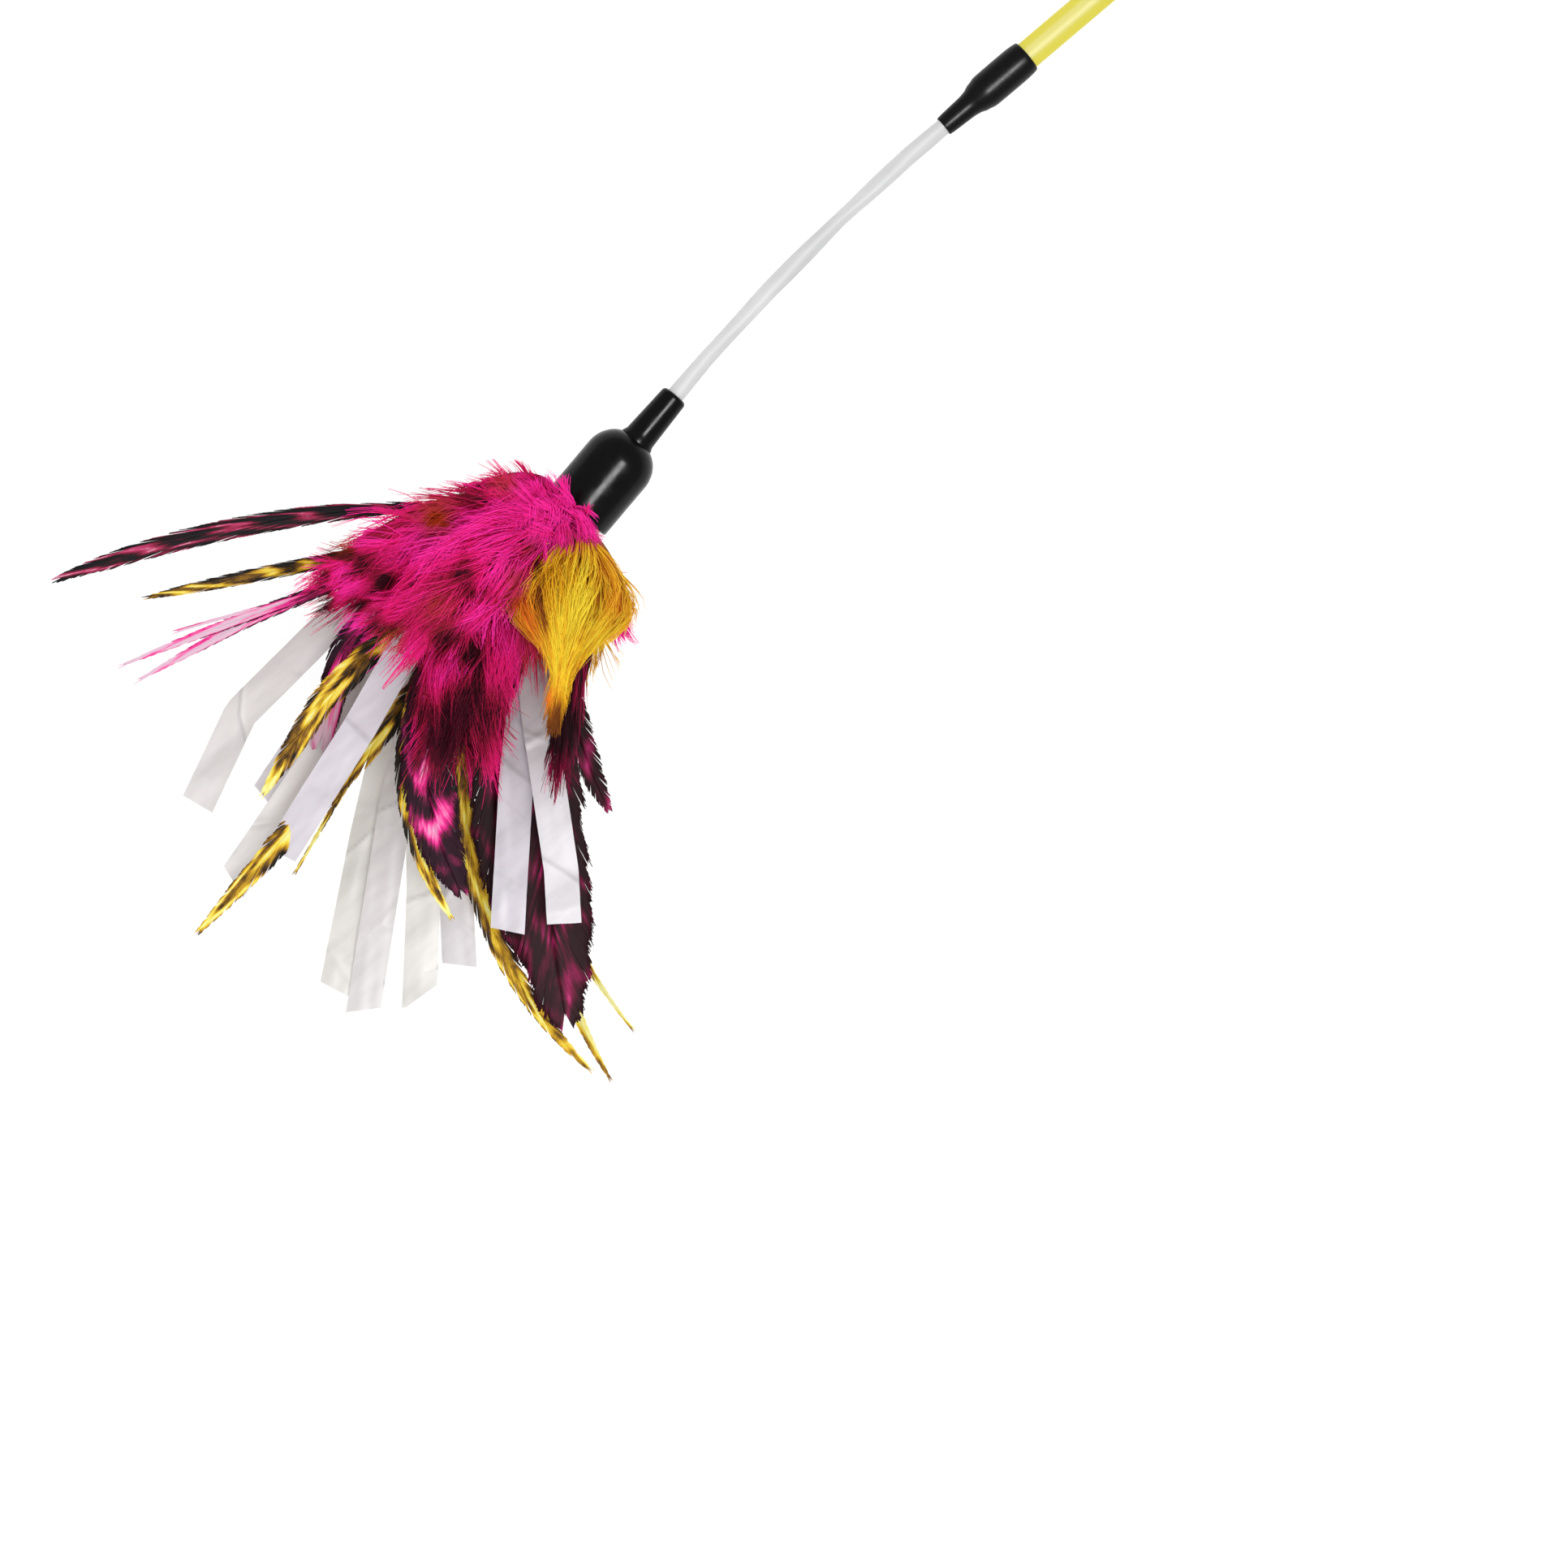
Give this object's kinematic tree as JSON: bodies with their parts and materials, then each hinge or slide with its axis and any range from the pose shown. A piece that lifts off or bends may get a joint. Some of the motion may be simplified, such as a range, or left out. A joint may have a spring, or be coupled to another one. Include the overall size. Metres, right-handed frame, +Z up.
{
  "type": "cat teaser wand",
  "caption": "Cat teaser wand: a coloured tube with a springy milky stem and a black cup that holds a tuft of dyed feathers and crackling film strips.",
  "frame": {"origin": "centre of the tube's butt end, inside the push-on cap", "axes": "+X along the tube towards the lure, +Z up when the wand lies on a table, +Y to the left of someone who looks along +X"},
  "size_m": [0.6456, 0.1529, 0.0438],
  "materials": {
    "tube_yellow": "gloss",
    "rubber_black": "satin",
    "stem_milky": "satin",
    "cup_black": "gloss",
    "glue": "satin",
    "quill": "satin",
    "thread": "matte",
    "film": "satin",
    "hackle_gold": "satin",
    "hackle_black_pink": "satin",
    "hackle_pink": "satin",
    "hackle_maroon": "satin",
    "plume_pink": "matte",
    "plume_yellow": "matte",
    "plume_maroon": "matte"
  },
  "bodies": {
    "handle": {"tube": "tube_yellow", "butt_cap": "rubber_black", "coupler_sleeve": "rubber_black", "stem_root": "stem_milky"},
    "link_1": {"stem_link_1": "stem_milky"},
    "link_2": {"stem_link_2": "stem_milky"},
    "link_3": {"stem_link_3": "stem_milky"},
    "lure": {"stem_tip": "stem_milky", "cup": "cup_black", "glue_plug": "glue", "quill_bundle": "quill", "thread_binding": "thread"},
    "tuft": {"film_strip_1": "film", "film_strip_2": "film", "film_strip_3": "film", "film_strip_4": "film", "film_strip_5": "film", "film_strip_6": "film", "film_strip_7": "film", "film_strip_8": "film", "film_strip_9": "film", "film_strip_10": "film", "hackle_black_pink": "hackle_black_pink", "hackle_gold_left": "hackle_gold", "hackle_pink_pair": "hackle_pink", "hackle_gold_long": "hackle_gold", "hackle_gold_curved": "hackle_gold", "hackle_pink_barred": "hackle_pink", "hackle_maroon": "hackle_maroon", "hackle_maroon_broad": "hackle_maroon", "hackle_gold_lower": "hackle_gold", "hackle_gold_tip": "hackle_gold", "hackle_pink_right": "hackle_pink", "plume_pink_left": "plume_pink", "plume_pink_lower": "plume_pink", "plume_yellow_right": "plume_yellow", "plume_pink_top": "plume_pink", "plume_pink_centre": "plume_pink", "plume_maroon": "plume_maroon", "plume_pink_small": "plume_pink", "plume_crown": "plume_pink", "underplume_left": "plume_pink", "underplume_centre": "plume_pink", "underplume_right": "plume_pink"}
  },
  "joints": [
    {"name": "stem_bend", "type": "hinge", "parent": "handle", "child": "link_1", "pos_m": [0.42975, 0, 0], "axis": [-0.0207, 0.9998, 0], "range_deg": [-20, 20], "stiffness_Nm_per_rad": 0.2},
    {"name": "stem_sway", "type": "hinge", "parent": "link_1", "child": "link_2", "pos_m": [0.44923, 0.00081, 0], "axis": [0, 0, 1], "range_deg": [-20, 20], "stiffness_Nm_per_rad": 0.2},
    {"name": "stem_bend_tip", "type": "hinge", "parent": "link_2", "child": "link_3", "pos_m": [0.46867, 0.00242, 0], "axis": [-0.1034, 0.9946, 0], "range_deg": [-20, 20], "stiffness_Nm_per_rad": 0.2},
    {"name": "stem_sway_tip", "type": "hinge", "parent": "link_3", "child": "lure", "pos_m": [0.48802, 0.00484, 0], "axis": [0, 0, 1], "range_deg": [-20, 20], "stiffness_Nm_per_rad": 0.2},
    {"name": "tuft_sway", "type": "hinge", "parent": "lure", "child": "tuft", "pos_m": [0.5287, 0.01165, 0], "axis": [0, 0, 1], "range_deg": [-12, 12], "stiffness_Nm_per_rad": 0.03}
  ],
  "couplings": [
    {"joint": "stem_bend_tip", "follows": "stem_bend", "ratio": 1},
    {"joint": "stem_sway_tip", "follows": "stem_sway", "ratio": 1}
  ]
}
